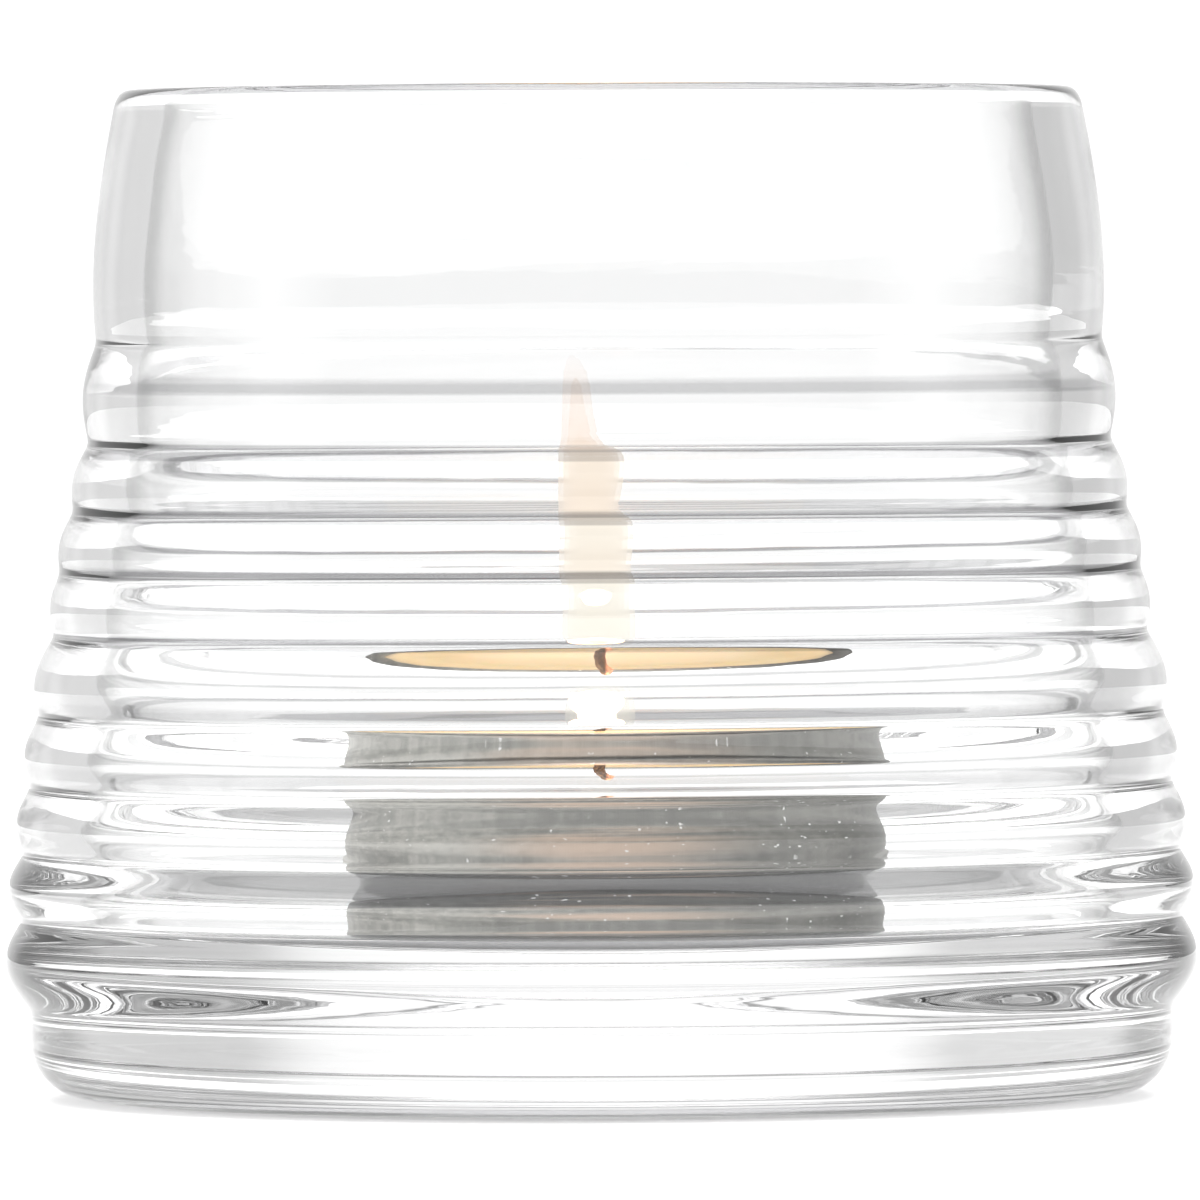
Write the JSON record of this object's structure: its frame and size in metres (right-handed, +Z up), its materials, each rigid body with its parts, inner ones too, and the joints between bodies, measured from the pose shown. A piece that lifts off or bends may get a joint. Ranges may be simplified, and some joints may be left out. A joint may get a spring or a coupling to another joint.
{
  "type": "tealight holder",
  "caption": "Heavy clear glass tumbler for a tealight, ribbed round its sloping wall, plain at rim and foot, with a thick solid base and a lift-out tealight in an aluminium cup.",
  "frame": {"origin": "centre of the glass's flat underside, on the glass's own axis", "axes": "+Z up along the glass's axis, the way the tealight lifts out; -Y towards the viewer; +X to the viewer's right"},
  "size_m": [0.084, 0.084, 0.0708],
  "materials": {
    "clear_glass": "clear, fire-polished",
    "cup_aluminium": "thin drawn sheet, satin",
    "candle_wax": "warm translucent paraffin wax, half melted",
    "wick_cotton": "waxed braided cotton, charred at the tip",
    "tinned_steel": "thin tinned sheet"
  },
  "bodies": {
    "holder": {"glass_holder": "clear_glass"},
    "tealight": {"tealight_cup": "cup_aluminium"},
    "candle": {"wax_block": "candle_wax", "wick": "wick_cotton", "wick_foot": "tinned_steel"}
  },
  "joints": [
    {"name": "tealight_lift", "type": "slide", "parent": "holder", "child": "tealight", "axis": [0, 0, 1], "range_m": [0, 0.07]},
    {"name": "candle_lift", "type": "slide", "parent": "tealight", "child": "candle", "axis": [0, 0, 1], "range_m": [0, 0.019]}
  ]
}
